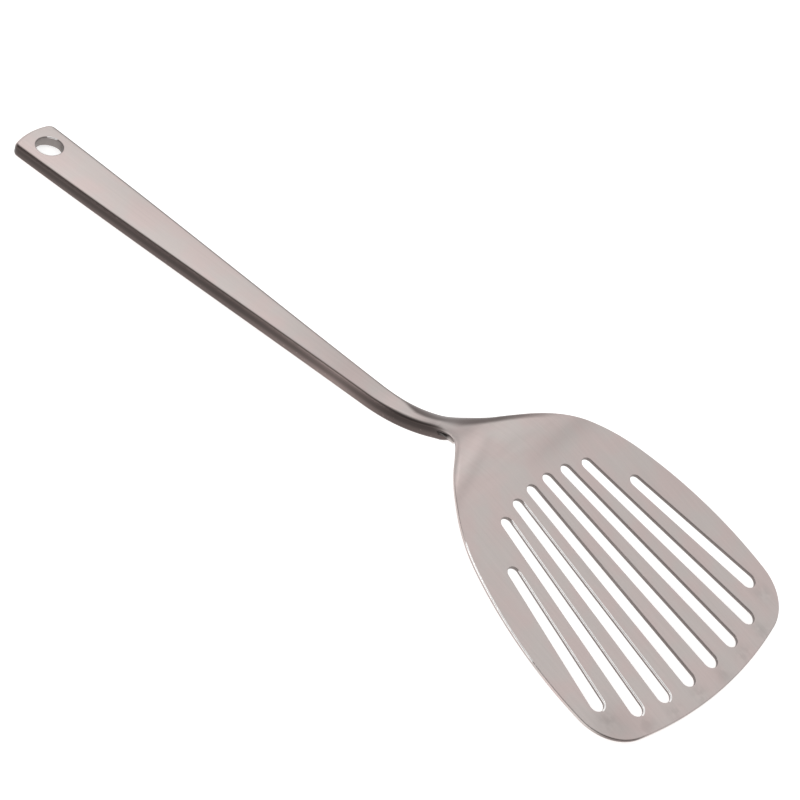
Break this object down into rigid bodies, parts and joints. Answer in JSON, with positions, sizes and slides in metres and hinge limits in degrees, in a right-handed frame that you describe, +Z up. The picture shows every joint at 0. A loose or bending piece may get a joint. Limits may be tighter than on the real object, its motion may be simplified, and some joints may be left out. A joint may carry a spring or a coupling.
{
  "type": "slotted turner",
  "caption": "Rigid slotted turner: a flaring sheet blade with a fan of tapered slots, a bent neck, and a tapering flat bar handle with a hanging hole.",
  "frame": {"origin": "middle of the length and width, at the height of the surface that the turner lies on", "axes": "+X along the turner from the handle's end to the blade's front edge, +Y across the blade, +Z up from the table, out of the visible face"},
  "size_m": [0.3182, 0.1064, 0.0287],
  "materials": {
    "steel": "satin, finely brushed along its length",
    "weld": "dull weld metal, brushed down"
  },
  "bodies": {
    "root": {"blade": "steel", "handle": "steel", "neck_weld": "weld"}
  },
  "joints": []
}
